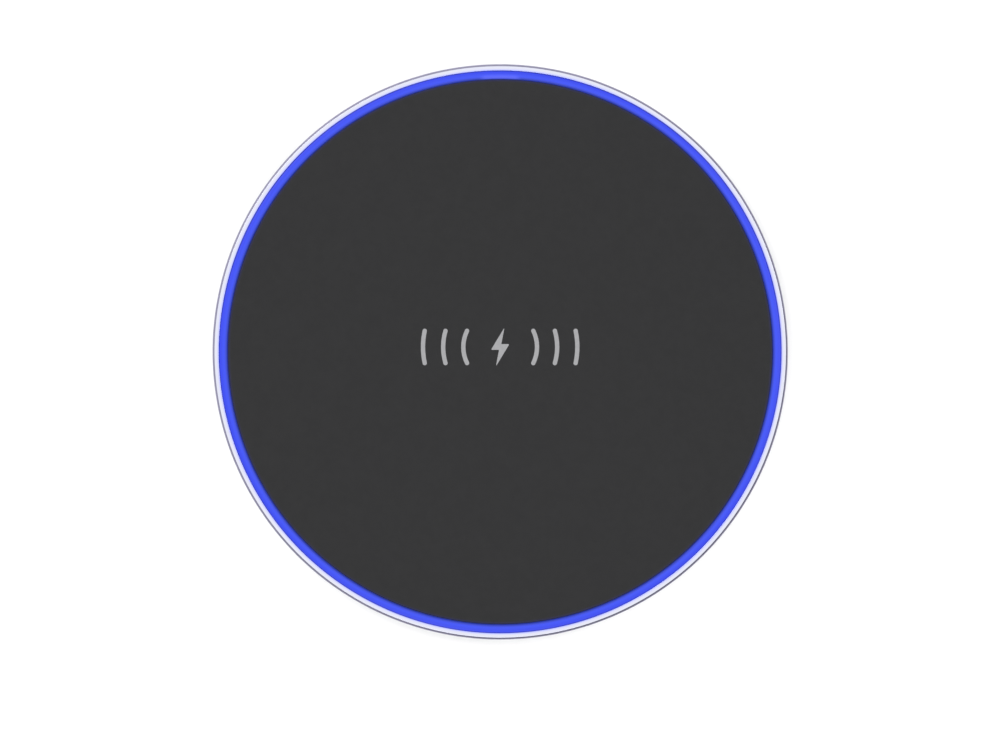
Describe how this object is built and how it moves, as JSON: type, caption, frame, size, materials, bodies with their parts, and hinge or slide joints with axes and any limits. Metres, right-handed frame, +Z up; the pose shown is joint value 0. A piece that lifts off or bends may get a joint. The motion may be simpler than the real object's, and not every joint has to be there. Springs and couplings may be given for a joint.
{
  "type": "wireless charging pad",
  "caption": "Thin round pad: flat dark top with a small pale mark, a glowing blue ring round it, a bright metal rim, a socket in the side and a soft ring underneath.",
  "frame": {"origin": "centre of the underside, on the surface that the pad stands on", "axes": "+Z up through the thin way of the pad, +Y towards the socket in the side wall, +X to the right when seen from above with the socket away from the viewer"},
  "size_m": [0.1, 0.1, 0.0082],
  "materials": {
    "top_panel": "matte soft-touch moulding, very fine grain",
    "panel_emblem": "flat pale grey print",
    "light_ring": "translucent satin moulding, lit blue from inside",
    "light_reflector": "white reflecting film",
    "metal_rim": "turned, fine bead blast, clear anodised, bright cut bevels",
    "base_shell": "matte moulding, fine spark texture",
    "socket_surround": "matte moulding",
    "foot_ring": "matte silicone",
    "case_screws": "black zinc plate",
    "inner_frame": "white moulding",
    "panel_adhesive": "black foam tape",
    "main_board": "green solder mask on glass fibre",
    "socket_shell": "bright nickel plate",
    "socket_insulator": "black moulding",
    "socket_contacts": "gold plate",
    "lamp_bodies": "white moulding",
    "lamp_lenses": "clear resin, lit blue",
    "lamp_terminals": "tinned",
    "controller_chip": "moulded epoxy",
    "controller_pads": "tinned",
    "power_transistors": "moulded epoxy",
    "lamp_drivers": "moulded epoxy",
    "transistor_legs": "tinned",
    "power_inductor": "sintered ferrite",
    "resonance_capacitors": "sintered ceramic, brown",
    "input_capacitors": "sintered ceramic, brown",
    "chip_capacitors": "sintered ceramic, brown",
    "chip_resistors": "black glazed film on ceramic",
    "sense_resistor": "black glazed film on ceramic",
    "component_terminals": "tinned",
    "board_tape": "double-sided tape",
    "ferrite_plate": "sintered ferrite",
    "coil_tape": "double-sided tape",
    "transmitter_coil": "enamelled copper strand",
    "coil_foam": "soft open foam",
    "thermistor_bead": "resin drop",
    "thermistor_leads": "coated wire",
    "solder_joints": "bright solder"
  },
  "bodies": {
    "root": {"top_panel": "top_panel", "panel_emblem": "panel_emblem", "light_ring": "light_ring", "light_reflector": "light_reflector", "metal_rim": "metal_rim", "base_shell": "base_shell", "socket_surround": "socket_surround", "foot_ring": "foot_ring", "case_screws": "case_screws", "inner_frame": "inner_frame", "panel_adhesive": "panel_adhesive", "main_board": "main_board", "socket_shell": "socket_shell", "socket_insulator": "socket_insulator", "socket_contacts": "socket_contacts", "lamp_bodies": "lamp_bodies", "lamp_lenses": "lamp_lenses", "lamp_terminals": "lamp_terminals", "controller_chip": "controller_chip", "controller_pads": "controller_pads", "power_transistors": "power_transistors", "lamp_drivers": "lamp_drivers", "transistor_legs": "transistor_legs", "power_inductor": "power_inductor", "resonance_capacitors": "resonance_capacitors", "input_capacitors": "input_capacitors", "chip_capacitors": "chip_capacitors", "chip_resistors": "chip_resistors", "sense_resistor": "sense_resistor", "component_terminals": "component_terminals", "board_tape": "board_tape", "ferrite_plate": "ferrite_plate", "coil_tape": "coil_tape", "transmitter_coil": "transmitter_coil", "coil_foam": "coil_foam", "thermistor_bead": "thermistor_bead", "thermistor_leads": "thermistor_leads", "solder_joints": "solder_joints"}
  },
  "joints": []
}
